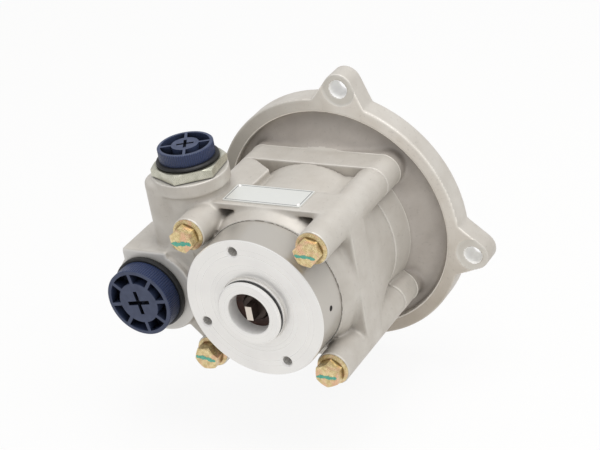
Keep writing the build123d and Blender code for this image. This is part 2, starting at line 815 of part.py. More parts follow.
def make_adapter_washer():
    washer_radius = adapter_flats / 2 - adapter_washer_inset
    outer = cyl_z(washer_radius, pressure_face_z, adapter_z, pressure_x, pressure_y)
    inner = adapter_thread_radius + 0.3
    return outer - cyl_z(inner, pressure_face_z - 1, adapter_z + 1, pressure_x, pressure_y)


# Flow control valve under the pressure adapter: a spool held up by a spring
spool_length = 30.0
spool_top_z = adapter_end_z - 0.1
spool_bottom_z = spool_top_z - spool_length
spool_bore_radius = 4.5
spool_bore_depth = 22.0
spool_waist_radius = 6.2
spool_waist_low = 11.0
spool_waist_high = 19.0
flow_spring_radius = 6.2
flow_spring_wire = 0.75
relief_seat_length = 4.0
relief_poppet_radius = 2.6
relief_poppet_length = 7.0
relief_shoulder = 2.6
relief_spring_wire = 0.45
spring_gap = 0.03


def make_flow_spool():
    low, high = spool_bottom_z, spool_top_z
    outline = [
        (orifice_radius / 2, high),
        (valve_radius - 1.2, high),
        (valve_radius - 1.2, high - 2.5),
        (valve_radius, high - 2.5),
        (valve_radius, low + spool_waist_high),
        (spool_waist_radius, low + spool_waist_high),
        (spool_waist_radius, low + spool_waist_low),
        (valve_radius, low + spool_waist_low),
        (valve_radius, low),
        (spool_bore_radius, low),
        (spool_bore_radius, low + spool_bore_depth),
        (orifice_radius / 2, low + spool_bore_depth),
    ]
    return turned_z(outline, pressure_x, pressure_y)


def make_relief_seat():
    low = spool_bottom_z
    outer = cyl_z(spool_bore_radius - thread_gap, low, low + relief_seat_length, pressure_x, pressure_y)
    return outer - cyl_z(1.4, low - 1, low + relief_seat_length + 1, pressure_x, pressure_y)


def make_relief_poppet():
    low = spool_bottom_z + relief_seat_length + 0.1
    outline = [
        (0, low),
        (1.7, low),
        (relief_poppet_radius, low + 1.6),
        (relief_poppet_radius, low + relief_shoulder),
        (1.2, low + relief_shoulder),
        (1.2, low + relief_poppet_length),
        (0, low + relief_poppet_length),
    ]
    return turned_z(outline, pressure_x, pressure_y)


def make_relief_spring():
    wire = relief_spring_wire
    low = spool_bottom_z + relief_seat_length + 0.1 + relief_shoulder + wire + spring_gap
    high = spool_bottom_z + spool_bore_depth - wire - spring_gap
    spring = make_spring(relief_poppet_radius, wire, high - low, 6)
    return Pos(pressure_x, pressure_y, low) * spring


def make_flow_spring():
    low = valve_floor_z + flow_spring_wire + spring_gap
    high = spool_bottom_z - flow_spring_wire - spring_gap
    spring = make_spring(flow_spring_radius, flow_spring_wire, high - low, 6)
    return Pos(pressure_x, pressure_y, low) * spring


# A blue port plug: a cap with a rim, a hub with a cross slot and ribs between them, over a hollow shank
def make_plug(cap_radius, cap_height, rim, hub, ribs, rib_width, slot, shank_radius, shank_length):
    cap = Cylinder(cap_radius, cap_height, align=(Align.CENTER, Align.CENTER, Align.MIN))
    cap = chamfer(cap.edges().filter_by(GeomType.CIRCLE).sort_by(Axis.Z)[-1], 0.5)
    depth = cap_height * 0.7
    pocket = Cylinder(cap_radius - rim, depth + 1, align=(Align.CENTER, Align.CENTER, Align.MIN))
    pocket -= Cylinder(hub, depth + 2, align=(Align.CENTER, Align.CENTER, Align.MIN))
    for n in range(ribs):
        spoke = Box(cap_radius, rib_width, depth + 4, align=(Align.MIN, Align.CENTER, Align.MIN))
        pocket -= Rot(Z=360 / ribs * n) * Pos(0, 0, -1) * spoke
    cap -= Pos(0, 0, cap_height - depth) * pocket
    slot_length, slot_width, slot_depth = slot
    for turn in (0, 90):
        cross = Box(slot_length, slot_width, slot_depth + 1)
        cap -= Rot(Z=turn) * Pos(0, 0, cap_height - slot_depth / 2 + 0.5) * cross
    shank = Cylinder(shank_radius, shank_length + 1, align=(Align.CENTER, Align.CENTER, Align.MAX))
    plug = cap + Pos(0, 0, 1) * shank
    hollow = Cylinder(shank_radius - 2, shank_length + 1, align=(Align.CENTER, Align.CENTER, Align.MAX))
    return plug - Pos(0, 0, -0.5) * hollow


pressure_cap_radius = 19.5
pressure_cap_height = 8.9
pressure_cap_wall = 2.4
pressure_cap_hub = 9.6
pressure_cap_ribs = 4
pressure_rib_width = 1.9
pressure_slot = (12.0, 2.2, 3.0)
pressure_cap_ring = 2.9
pressure_ring_step = 2.4   # how far the black ring stands out past the cap
pressure_shank_length = 8.0
suction_cap_radius = 25.4
suction_cap_height = 13.1
suction_cap_wall = 2.9
suction_cap_hub = 15.4
suction_cap_ribs = 8
suction_rib_width = 2.5
suction_slot = (18.0, 3.0, 4.5)
suction_cap_ring = 4.5
suction_ring_step = 1.9
suction_shank_length = 11.0
plug_gap = 0.3


def make_pressure_plug():
    shank = adapter_bore_radius - plug_gap
    plug = make_plug(
        pressure_cap_radius, pressure_cap_height, pressure_cap_wall, pressure_cap_hub,
        pressure_cap_ribs, pressure_rib_width, pressure_slot,
        shank, pressure_shank_length + pressure_cap_ring,
    )
    return Pos(pressure_x, pressure_y, adapter_top_z + pressure_cap_ring) * Rot(Z=28) * plug


def make_suction_plug():
    shank = suction_bore_radius - plug_gap
    plug = make_plug(
        suction_cap_radius, suction_cap_height, suction_cap_wall, suction_cap_hub,
        suction_cap_ribs, suction_rib_width, suction_slot,
        shank, suction_shank_length + suction_cap_ring,
    )
    return Pos(suction_x, suction_face_y - suction_cap_ring, suction_z) * Rot(X=90) * Rot(Z=10) * plug


def make_plug_ring(outer, inner, height):
    ring = Cylinder(outer, height) - Cylinder(inner, height + 2)
    return chamfer(ring.edges().filter_by(GeomType.CIRCLE).sort_by(SortBy.RADIUS)[-2:], 0.9)


def make_pressure_plug_ring():
    ring_radius = pressure_cap_radius + pressure_ring_step
    ring = make_plug_ring(ring_radius, adapter_bore_radius, pressure_cap_ring)
    return Pos(pressure_x, pressure_y, adapter_top_z + pressure_cap_ring / 2) * ring


def make_suction_plug_ring():
    ring = make_plug_ring(suction_cap_radius + suction_ring_step, suction_bore_radius, suction_cap_ring)
    return Pos(suction_x, suction_face_y - suction_cap_ring / 2, suction_z) * Rot(X=90) * ring


# Bare type plate on the top plate, held by two drive rivets in opposite corners
nameplate_length = 60.0
nameplate_width = 23.0
nameplate_thickness = 0.8
nameplate_x = -4.5
nameplate_y = mouth_y + plate_front + 15.0
rivet_inset = 2.6
rivet_radius = 1.5


def nameplate_corners():
    half_x = nameplate_length / 2 - rivet_inset
    half_y = nameplate_width / 2 - rivet_inset
    return [(-half_x, half_y), (half_x, -half_y)]


def make_nameplate():
    outline = RectangleRounded(nameplate_length, nameplate_width, 1.2)
    for x, y in nameplate_corners():
        outline -= Pos(x, y) * Circle(0.9)
    top_z = column_z + column_radius
    return Pos(nameplate_x, nameplate_y, top_z) * extrude(outline, nameplate_thickness)


def make_nameplate_rivets():
    top_z = column_z + column_radius + nameplate_thickness
    rivets = []
    for x, y in nameplate_corners():
        head = Sphere(rivet_radius) & Pos(0, 0, rivet_radius) * Box(9, 9, 2 * rivet_radius)
        head = Pos(0, 0, -0.6) * head
        head &= Pos(0, 0, 5) * Box(9, 9, 10)
        stem = cyl_z(0.85, -nameplate_thickness, 0.2, 0, 0)
        rivets.append(Pos(nameplate_x + x, nameplate_y + y, top_z) * (head + stem))
    return Compound(children=rivets)


def make_washer():
    y = taper_start + taper_length
    return ring_y(thread_radius + 5.5, thread_radius + 0.3, y, y + washer_thickness)


def make_cartridge_pins():
    end_y = rear_plate_y + 1.0
    pins = [cyl_y(pin_radius, joint_y + pin_depth - 0.3, end_y, side * pin_circle, 0) for side in (-1, 1)]
    return Compound(children=pins)


def make_balls():
    return Compound(children=[place * Sphere(ball_radius) for place in ball_places()])


spigot_ring_y = pad_y - spigot_length + 2.3 + spigot_groove_width / 2
cover_ring_y = cover_groove_y + cover_groove_width / 2
rear_ring_y = cam_end_y - rear_ring_inset - 1.6
body_ring_wire = 0.9
body_ring_radius = body_groove_radius + body_groove_width / 2
pilot_ring_wire = 1.2
race_step = bearing_height * race_share

pieces = {
    "bell_flange": make_bell_flange(),
    "pump_body": make_pump_body(),
    "rear_cover": make_rear_cover(),
    "clamp_bolts": make_clamp_bolts(),
    "cover_lock_ring": make_lock_ring(),
    "cover_seal_ring": round_ring(
        cover_radius - cover_ring_wire + ring_gap, cover_ring_wire, cover_ring_y
    ),
    "spigot_seal_ring": round_ring(
        spigot_radius - 2.3 + spigot_ring_wire + ring_gap, spigot_ring_wire, spigot_ring_y
    ),
    "body_seal_ring": round_ring(body_ring_radius, body_ring_wire, joint_y + body_groove_depth / 2),
    "flange_seal_ring": round_ring(
        pilot_radius - pilot_groove_depth + pilot_ring_wire + ring_gap, pilot_ring_wire, pilot_length / 2
    ),
    "rear_shaft_seal": make_lip_seal(
        spigot_bore_radius - ring_gap, shaft_end_radius, rear_seal_y, rear_seal_width
    ),
    "front_shaft_seal": make_lip_seal(
        front_seal_bore - ring_gap, bearing_bore_radius, joint_y + passage_length, 7.0
    ),
    "rear_bush": ring_y(
        bush_outer_radius - ring_gap, journal_radius + journal_fit, bush_y, bush_y + bush_length
    ),
    "bearing_outer_race": make_race(bearing_pitch_radius + race_step, bearing_outer_radius - ring_gap),
    "bearing_inner_race": make_race(bearing_bore_radius + 0.02, bearing_pitch_radius - race_step),
    "bearing_cage": make_cage(),
    "bearing_balls": make_balls(),
    "bearing_circlip": make_circlip(
        bearing_outer_radius + circlip_depth - 0.2, bearing_outer_radius - 2.6,
        bearing_end_y + 0.15, circlip_width - 0.1, 2.6,
    ),
    "shaft_circlip": make_circlip(
        bearing_bore_radius + 2.0, bearing_bore_radius - 0.8,
        bearing_end_y + 0.1, bearing_lock_width - 0.1, -1.6,
    ),
    "drive_shaft": make_drive_shaft(),
    "woodruff_key": make_woodruff_key(),
    "shaft_washer": make_washer(),
    "shaft_nut": make_shaft_nut(),
    "rotor": make_rotor(),
    "vanes": make_vanes(),
    "cam_ring": make_cam_ring(),
    "front_side_plate": make_side_plate(joint_y, front_plate_thickness, shaft_passage, False),
    "rear_side_plate": make_rear_side_plate(),
    "side_plate_seal_ring": round_ring(
        side_plate_radius - rear_ring_wire + 0.12, rear_ring_wire, rear_ring_y
    ),
    "cartridge_pins": make_cartridge_pins(),
    "cartridge_spring": make_cartridge_spring(),
    "pressure_adapter": make_pressure_adapter(),
    "adapter_washer": make_adapter_washer(),
    "flow_spool": make_flow_spool(),
    "flow_spring": make_flow_spring(),
    "relief_seat": make_relief_seat(),
    "relief_poppet": make_relief_poppet(),
    "relief_spring": make_relief_spring(),
    "pressure_plug": make_pressure_plug(),
    "pressure_plug_ring": make_pressure_plug_ring(),
    "suction_plug": make_suction_plug(),
    "suction_plug_ring": make_suction_plug_ring(),
    "nameplate": make_nameplate(),
    "nameplate_rivets": make_nameplate_rivets(),
}

os.makedirs("parts", exist_ok=True)
for name, piece in pieces.items():
    export_step(piece, f"parts/{name}.step")
    print(name, round(piece.volume), len(piece.solids()))
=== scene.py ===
import bmesh
import bpy
import math
import numpy as np
from mathutils import Matrix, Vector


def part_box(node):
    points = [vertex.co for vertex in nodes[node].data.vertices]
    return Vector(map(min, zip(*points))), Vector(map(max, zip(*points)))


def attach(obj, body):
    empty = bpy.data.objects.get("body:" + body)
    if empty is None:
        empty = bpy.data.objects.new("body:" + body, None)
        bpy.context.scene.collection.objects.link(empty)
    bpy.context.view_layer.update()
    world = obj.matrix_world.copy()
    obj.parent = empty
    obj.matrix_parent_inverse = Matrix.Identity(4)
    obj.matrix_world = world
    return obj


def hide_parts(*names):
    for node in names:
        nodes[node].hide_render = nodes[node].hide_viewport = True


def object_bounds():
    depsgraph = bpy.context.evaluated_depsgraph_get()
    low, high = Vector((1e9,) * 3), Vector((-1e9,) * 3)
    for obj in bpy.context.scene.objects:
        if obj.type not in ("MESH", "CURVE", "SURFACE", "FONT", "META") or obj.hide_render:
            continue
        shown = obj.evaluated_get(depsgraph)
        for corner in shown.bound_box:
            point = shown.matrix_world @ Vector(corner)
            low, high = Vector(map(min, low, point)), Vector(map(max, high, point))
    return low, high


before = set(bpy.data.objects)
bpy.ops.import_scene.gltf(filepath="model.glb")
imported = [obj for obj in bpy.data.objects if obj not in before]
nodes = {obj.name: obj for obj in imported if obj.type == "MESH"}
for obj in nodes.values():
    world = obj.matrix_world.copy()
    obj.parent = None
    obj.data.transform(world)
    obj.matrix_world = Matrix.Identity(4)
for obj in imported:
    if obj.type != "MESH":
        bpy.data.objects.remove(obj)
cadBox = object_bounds()
print("frame loaded:", len(nodes), "nodes")

mm = 0.001


# sRGB hex text to the linear colour that Blender's sockets take
def linear(hexText):
    srgb = [int(hexText[i:i + 2], 16) / 255 for i in (0, 2, 4)]
    parts = [c / 12.92 if c <= 0.04045 else ((c + 0.055) / 1.055) ** 2.4 for c in srgb]
    return (*parts, 1.0)


# adds one node, sets its properties and sockets, and links any value that is itself a socket
def addNode(tree, kind, sockets=None, **settings):
    node = tree.nodes.new(kind)
    for name, value in settings.items():
        setattr(node, name, value)
    for key, value in (sockets or {}).items():
        if isinstance(value, bpy.types.NodeSocket):
            tree.links.new(value, node.inputs[key])
        else:
            node.inputs[key].default_value = value
    return node


def newMaterial(name):
    material = bpy.data.materials.new(name)
    material.use_nodes = True
    material.node_tree.nodes.clear()
    return material, material.node_tree


def finishMaterial(tree, shader):
    out = addNode(tree, "ShaderNodeOutputMaterial")
    tree.links.new(shader.outputs[0], out.inputs["Surface"])


def objectPoint(tree):
    return addNode(tree, "ShaderNodeTexCoord").outputs["Object"]


# noise whose lumps are about sizeMm across
def lumps(tree, point, sizeMm, detail=3.0, roughness=0.55):
    sockets = {"Vector": point, "Scale": 1 / (sizeMm * mm), "Detail": detail, "Roughness": roughness}
    return addNode(tree, "ShaderNodeTexNoise", sockets).outputs["Fac"]


def remap(tree, value, low, high, toLow, toHigh):
    sockets = {"Value": value, "From Min": low, "From Max": high, "To Min": toLow, "To Max": toHigh}
    return addNode(tree, "ShaderNodeMapRange", sockets).outputs["Result"]


def blendColours(tree, amount, colourA, colourB):
    sockets = {0: amount, 6: colourA, 7: colourB}
    return addNode(tree, "ShaderNodeMix", sockets, data_type="RGBA").outputs[2]


def calc(tree, operation, first, second=0.0):
    return addNode(tree, "ShaderNodeMath", {0: first, 1: second}, operation=operation).outputs[0]


def vectorCalc(tree, operation, first, second=(0, 0, 0)):
    return addNode(tree, "ShaderNodeVectorMath", {0: first, 1: second}, operation=operation)


# distance from an axis through centre, in metres; along is the axis letter
def radiusFrom(tree, centre, along):
    moved = vectorCalc(tree, "SUBTRACT", objectPoint(tree), centre)
    flat = tuple(0.0 if letter == along else 1.0 for letter in "XYZ")
    pressed = vectorCalc(tree, "MULTIPLY", moved.outputs[0], flat)
    return vectorCalc(tree, "LENGTH", pressed.outputs[0]).outputs["Value"]


# one coordinate of a point: 0, 1 or 2 for X, Y or Z
def coordinate(tree, point, axis):
    return addNode(tree, "ShaderNodeSeparateXYZ", {0: point}).outputs[axis]


# share of painted shade in a corner: amount where its openness is low, falling to none where it is high
def cornerShade(tree, distanceMm, low, high, amount):
    corner = addNode(tree, "ShaderNodeAmbientOcclusion", {"Distance": distanceMm * mm}, samples=6)
    return remap(tree, corner.outputs["AO"], low, high, amount, 0.0)


# the last nodes of a finish; height is in metres
def finishSurface(tree, colour, height, rough, metallic):
    bump = addNode(tree, "ShaderNodeBump", {"Height": height, "Strength": 1.0, "Distance": 1.0})
    shader = addNode(tree, "ShaderNodeBsdfPrincipled", {
        "Base Color": colour, "Metallic": metallic, "Roughness": rough, "Normal": bump.outputs[0]})
    finishMaterial(tree, shader)


# blasted cast aluminium: fine grain, soft cloudy patches and dark specks, with painted shade in the corners and
# hollows and a painted highlight on outer edges. A look may also paint shade on it towards the left or the
# bottom, and paint one highlight line round the shaft
def castMetal(name, look):
    material, tree = newMaterial(name)
    point = objectPoint(tree)
    cloud = remap(tree, lumps(tree, point, look["cloudMm"]), 0.3, 0.7, 0.0, 1.0)
    speck = remap(tree, lumps(tree, point, look["speckMm"], 2.0), 0.62, 0.75, 0.0, look["speckAmount"])
    colour = blendColours(tree, cloud, linear(look["light"]), linear(look["shade"]))
    # painted shade towards the left
    if "left" in look:
        low, high = (edge * mm for edge in look["leftToRightMm"])
        leftness = remap(tree, coordinate(tree, point, 0), low, high, 1.0, 0.0)
        colour = blendColours(tree, leftness, colour, linear(look["left"]))
    # painted shade towards the bottom
    if "below" in look:
        low, high = (edge * mm for edge in look["belowFromMm"])
        lowness = remap(tree, coordinate(tree, point, 2), low, high, look["belowAmount"], 0.0)
        colour = blendColours(tree, lowness, colour, linear(look["below"]))
    # a painted highlight line round the shaft
    if "lineFromMm" in look:
        radius = radiusFrom(tree, (0, 0, 0), "Y")
        first, last = (edge * mm for edge in look["lineFromMm"])
        line = calc(tree, "MULTIPLY", remap(tree, radius, first, first + 0.3 * mm, 0.0, 1.0),
                    remap(tree, radius, last, last + 0.5 * mm, 1.0, 0.0))
        colour = blendColours(tree, line, colour, linear(look["edgeHighlight"]))
    colour = blendColours(tree, speck, colour, linear(look["dark"]))
    # painted shade in the corners
    paintedShade = cornerShade(tree, look["cornerMm"], 0.25, 0.9, look["cornerAmount"])
    colour = blendColours(tree, paintedShade, colour, linear(look["dark"]))
    # painted highlight on the outer edges and painted shade in the hollows, both from the pointiness
    bend = addNode(tree, "ShaderNodeNewGeometry").outputs["Pointiness"]
    edge = remap(tree, bend, 0.525, 0.575, 0.0, look["edgeAmount"])
    colour = blendColours(tree, edge, colour, linear(look["edgeHighlight"]))
    hollow = remap(tree, bend, 0.485, 0.44, 0.0, look["hollowAmount"])
    colour = blendColours(tree, hollow, colour, linear(look["dark"]))
    grain = lumps(tree, point, look["grainMm"], 4.0, 0.7)
    orange = lumps(tree, point, look["waveMm"], 2.0)
    height = calc(tree, "ADD", calc(tree, "MULTIPLY", grain, look["grainDepthMm"] * mm),
                  calc(tree, "MULTIPLY", orange, look["waveDepthMm"] * mm))
    rough = remap(tree, cloud, 0.0, 1.0, look["rough"] - 0.05, look["rough"] + 0.06)
    finishSurface(tree, colour, height, rough, look["metallic"])
    return material


# turned metal: rings left by the tool round an axis, over a faint cloudy tone. A look may also give it a greyer
# side as painted shade with a dark spot painted as the shade inside a small drilled hole, a plain bore, or a
# light tip at the rear
def turnedMetal(name, look):
    material, tree = newMaterial(name)
    point = objectPoint(tree)
    radius = radiusFrom(tree, look["centre"], look["along"])
    rings = addNode(tree, "ShaderNodeTexNoise", {
        "W": calc(tree, "DIVIDE", radius, look["ringMm"] * mm), "Scale": 1.0, "Detail": 3.0},
        noise_dimensions="1D").outputs["Fac"]
    cloud = remap(tree, lumps(tree, point, look["cloudMm"]), 0.3, 0.7, 0.0, 1.0)
    colour = blendColours(tree, cloud, linear(look["light"]), linear(look["shade"]))
    grooves = remap(tree, rings, 0.35, 0.65, 0.0, look["ringAmount"])
    colour = blendColours(tree, grooves, colour, linear(look["dark"]))
    # painted shade on the side, and a dark spot painted as the shade inside a small drilled hole
    if "side" in look:
        past = remap(tree, radius, (look["sideFromMm"] - 0.15) * mm, look["sideFromMm"] * mm, 0.0, 1.0)
        colour = blendColours(tree, past, colour, linear(look["side"]))
        gap = vectorCalc(tree, "DISTANCE", point, look["drilling"]).outputs["Value"]
        holeShade = remap(tree, gap, 2.0 * mm, 2.3 * mm, 1.0, 0.0)
        colour = blendColours(tree, holeShade, colour, linear(look["holeShade"]))
    metallic = look["metallic"]
    if "boreMm" in look:
        metallic = remap(tree, radius, (look["boreMm"] - 0.4) * mm, look["boreMm"] * mm, 0.0, metallic)
    if "tip" in look:
        start = look["tipFromMm"] * mm
        tip = remap(tree, coordinate(tree, point, 1), start - 0.1 * mm, start, 1.0, 0.0)
        colour = blendColours(tree, tip, colour, linear(look["tip"]))
    height = calc(tree, "MULTIPLY", rings, look["ringDepthMm"] * mm)
    rough = remap(tree, rings, 0.3, 0.7, look["rough"] - 0.05, look["rough"] + 0.05)
    finishSurface(tree, colour, height, rough, metallic)
    return material


# plated steel: patches of a second and third tint, as chromate leaves them, and painted shade in the corners
def platedSteel(name, look):
    material, tree = newMaterial(name)
    point = objectPoint(tree)
    first = remap(tree, lumps(tree, point, look["patchMm"], 2.0), 0.38, 0.62, 0.0, 1.0)
    second = remap(tree, lumps(tree, point, look["patchMm"] * 1.7, 2.0, 0.4), 0.5, 0.68, 0.0, 0.8)
    colour = blendColours(tree, first, linear(look["light"]), linear(look["shade"]))
    colour = blendColours(tree, second, colour, linear(look["tint"]))
    # painted shade in the corners
    paintedShade = cornerShade(tree, look["cornerMm"], 0.4, 0.95, look["cornerAmount"])
    colour = blendColours(tree, paintedShade, colour, linear(look["deep"]))
    scratch = lumps(tree, point, look["grainMm"], 3.0)
    height = calc(tree, "MULTIPLY", scratch, look["grainDepthMm"] * mm)
    rough = remap(tree, scratch, 0.3, 0.7, look["rough"] - 0.07, look["rough"] + 0.07)
    finishSurface(tree, colour, height, rough, look["metallic"])
    return material


# fine ribs round an axis, as a height in metres, only where the radius is over ribFromMm
def sideRibs(tree, look):
    moved = vectorCalc(tree, "SUBTRACT", objectPoint(tree), look["centre"])
    parts = addNode(tree, "ShaderNodeSeparateXYZ", {0: moved.outputs[0]}).outputs
    across = parts[0], parts[2] if look["along"] == "Y" else parts[1]
    angle = calc(tree, "ARCTAN2", across[1], across[0])
    wave = calc(tree, "SINE", calc(tree, "MULTIPLY", angle, look["ribCount"]))
    side = remap(tree, radiusFrom(tree, look["centre"], look["along"]),
                 look["ribFromMm"] * mm, (look["ribFromMm"] + 0.3) * mm, 0.0, 1.0)
    return calc(tree, "MULTIPLY", calc(tree, "MULTIPLY", wave, side), look["ribDepthMm"] * mm), side


# moulded plastic or rubber: even colour with a faint mottle and a soft surface grain. A look may also give it
# side ribs, with painted shade on the ribbed side and in the rib valleys, and painted shade in the corners
def mouldedSkin(name, look):
    material, tree = newMaterial(name)
    point = objectPoint(tree)
    mottle = remap(tree, lumps(tree, point, look["mottleMm"]), 0.35, 0.65, 0.0, 1.0)
    colour = blendColours(tree, mottle, linear(look["light"]), linear(look["shade"]))
    height = calc(tree, "MULTIPLY", lumps(tree, point, look["grainMm"], 3.0), look["grainDepthMm"] * mm)
    if "ribCount" in look:
        ribs, side = sideRibs(tree, look)
        height = calc(tree, "ADD", height, ribs)
        # painted shade on the ribbed side and in its valleys
        colour = blendColours(tree, side, colour, linear(look["sideShadeColour"]))
        valleys = remap(tree, ribs, -look["ribDepthMm"] * mm, 0.0, look["ribShade"], 0.0)
        colour = blendColours(tree, valleys, colour, linear(look["deep"]))
    # painted shade in the corners
    if "deep" in look:
        shade = cornerShade(tree, look["deepMm"], 0.35, 0.95, look["deepAmount"])
        colour = blendColours(tree, shade, colour, linear(look["deep"]))
    rough = remap(tree, mottle, 0.0, 1.0, look["rough"] - 0.05, look["rough"] + 0.06)
    finishSurface(tree, colour, height, rough, 0.0)
    return material


# places that both the finishes and the castings need, in mm
suctionPlace = (-95.0, -9.0)
pressurePlace = (-63.0, -91.5)
rimInner = 84.9
suctionCentre = (suctionPlace[0] * mm, 0, suctionPlace[1] * mm)
pressureCentre = (pressurePlace[0] * mm, pressurePlace[1] * mm, 0)

# cast finish: dark is the colour of the specks and also of the painted shade in corners and hollows;
# edgeHighlight is a painted highlight
castLook = {"light": "cec9c1", "shade": "c2bcb3", "dark": "6b635b", "edgeHighlight": "efebe4", "edgeAmount": 0.6,
            "hollowAmount": 0.5, "cloudMm": 18, "speckMm": 2.2, "speckAmount": 0.16, "cornerMm": 8,
            "cornerAmount": 0.42, "grainMm": 0.8, "grainDepthMm": 0.035, "waveMm": 5, "waveDepthMm": 0.10,
            "rough": 0.52, "metallic": 0.3}
castAluminium = castMetal("castAluminium", castLook)
# the rim: lighter than the rest of the casting, with painted shade towards the left and the bottom and a
# painted highlight line along its inner edge
rimLook = dict(castLook, light="eee9e1", shade="e2dbd1", edgeHighlight="fffaf2", cornerMm=5, cornerAmount=0.3,
               left="a39d93", leftToRightMm=(-85, 15), below="b0a596", belowFromMm=(-60, 10), belowAmount=0.8,
               lineFromMm=(rimInner, 86.0))
rimMetal = castMetal("rimMetal", rimLook)
# the dish inside the rim: a darker, browner copy of the cast finish with more corner darkening, as painted
# shade
dishLook = dict(castLook, light="bab3ab", shade="aea69e", dark="5c544d", cornerMm=11, cornerAmount=0.5)
shadedDishMetal = castMetal("shadedDishMetal", dishLook)
coverLook = {"light": "f6f4f0", "shade": "efedea", "dark": "d6d3ce", "cloudMm": 24, "ringMm": 0.45,
             "ringAmount": 0.05, "ringDepthMm": 0.0003, "rough": 0.42, "metallic": 0.35,
             "centre": (0, 0, 0), "along": "Y"}
turnedAluminium = turnedMetal("turnedAluminium", coverLook)
earFaceMetal = turnedMetal("earFaceMetal", dict(coverLook, light="dfdbd3", shade="d3cec5", dark="b5afa6"))
# ear hole walls: pure white and not metallic, a painted highlight for the bright light in the holes
earHoleMetal = turnedMetal("earHoleMetal", dict(coverLook, light="ffffff", shade="faf8f2", metallic=0))
# the rear cover: its side a greyer painted shade, with a dark spot painted as the shade in a small drilled hole
padLook = dict(coverLook, side="bdb8b0", sideFromMm=51.9, drilling=(0.051, -0.1285, 0), holeShade="2b2623",
               rough=0.32, metallic=0.45, boreMm=16)
padMetal = turnedMetal("padMetal", padLook)
portLook = dict(coverLook, centre=suctionCentre, light="e2dfda", shade="d6d3ce")
suctionFaceMetal = turnedMetal("suctionFaceMetal", portLook)
collarLook = dict(coverLook, centre=pressureCentre, along="Z", light="cfcbc4", shade="c4bfb7")
pressureFaceMetal = turnedMetal("pressureFaceMetal", collarLook)
steelLook = dict(coverLook, light="bdbcbb", shade="b0afae", dark="868584", rough=0.3, metallic=0.85, ringMm=0.7)
groundSteel = turnedMetal("groundSteel", steelLook)
# drive shaft: a dark brown that is partly oil and partly painted shade, as the shaft sits deep in the bore; its
# rear tip is light
shaftLook = dict(steelLook, light="4a3e38", shade="3a302b", dark="221b18", rough=0.42, metallic=0.6,
                 tip="e2d8cc", tipFromMm=-146.8)
oiledShadedSteel = turnedMetal("oiledShadedSteel", shaftLook)
# bolt finishes: deep is the colour of the painted shade in the corners
yellowLook = {"light": "ead7a6", "shade": "cdb684", "tint": "e3b596", "deep": "5e4424", "cornerMm": 4,
              "cornerAmount": 0.85, "patchMm": 3.0, "grainMm": 0.5, "grainDepthMm": 0.01, "rough": 0.3,
              "metallic": 0.75}
yellowZinc = platedSteel("yellowZinc", yellowLook)
paleLook = dict(yellowLook, light="cbc9ba", shade="b9b8a8", tint="d2cfc0", deep="4d4a42", cornerMm=2, patchMm=7)
paleZinc = platedSteel("paleZinc", paleLook)
darkLook = dict(yellowLook, light="4a4a4c", shade="38383a", tint="55534f", deep="1c1c1d", rough=0.45)
darkSteel = platedSteel("darkSteel", darkLook)
# blue caps: the ribbed side, the rib valleys and the corners take a darker blue and near black as painted shade
blueLook = {"light": "3b4560", "shade": "343d57", "mottleMm": 5, "grainMm": 0.6, "grainDepthMm": 0.012,
            "rough": 0.42, "sideShadeColour": "25345a", "deep": "0a0d16", "deepMm": 7, "deepAmount": 0.95}
suctionCapLook = dict(blueLook, centre=suctionCentre, along="Y", ribCount=96, ribFromMm=25.0,
                      ribDepthMm=0.16, ribShade=0.35)
suctionBlue = mouldedSkin("suctionBlue", suctionCapLook)
pressureCapLook = dict(suctionCapLook, centre=pressureCentre, along="Z", ribCount=80, ribFromMm=19.1)
pressureBlue = mouldedSkin("pressureBlue", pressureCapLook)
rubberLook = {"light": "1b1b1c", "shade": "131314", "mottleMm": 5, "grainMm": 0.6, "grainDepthMm": 0.012,
              "rough": 0.5}
blackRubber = mouldedSkin("blackRubber", rubberLook)
brownRubber = mouldedSkin("brownRubber", dict(rubberLook, light="45291f", shade="331f19"))
nylonCage = mouldedSkin("nylonCage", dict(rubberLook, light="c9c3a8", shade="bdb79a"))
bushBronze = turnedMetal("bushBronze", dict(steelLook, light="c9a668", shade="b8935a", dark="8d6e3f"))
paintTone = dict(rubberLook, light="46a892", shade="6dbba4", rough=0.5, mottleMm=1.5)
greenPaint = mouldedSkin("greenPaint", paintTone)


# rolled plate: fine grain along its length, and a thin printed line round the border
def platedLabel(name, look):
    material, tree = newMaterial(name)
    moved = vectorCalc(tree, "SUBTRACT", objectPoint(tree), look["centre"])
    parts = addNode(tree, "ShaderNodeSeparateXYZ", {0: moved.outputs[0]}).outputs
    insets = [calc(tree, "SUBTRACT", half * mm, calc(tree, "ABSOLUTE", parts[k]))
              for k, half in enumerate(look["halfMm"])]
    inset = calc(tree, "MINIMUM", insets[0], insets[1])
    offLine = calc(tree, "ABSOLUTE", calc(tree, "SUBTRACT", inset, look["lineMm"] * mm))
    line = remap(tree, offLine, look["lineWidthMm"] * 0.35 * mm, look["lineWidthMm"] * 0.65 * mm, 1.0, 0.0)
    stretched = vectorCalc(tree, "MULTIPLY", moved.outputs[0], (0.08, 1, 1))
    grain = lumps(tree, stretched.outputs[0], look["grainMm"], 3.0)
    colour = blendColours(tree, grain, linear(look["light"]), linear(look["shade"]))
    colour = blendColours(tree, line, colour, linear(look["line"]))
    height = calc(tree, "MULTIPLY", grain, look["grainDepthMm"] * mm)
    finishSurface(tree, colour, height, look["rough"], look["metallic"])
    return material


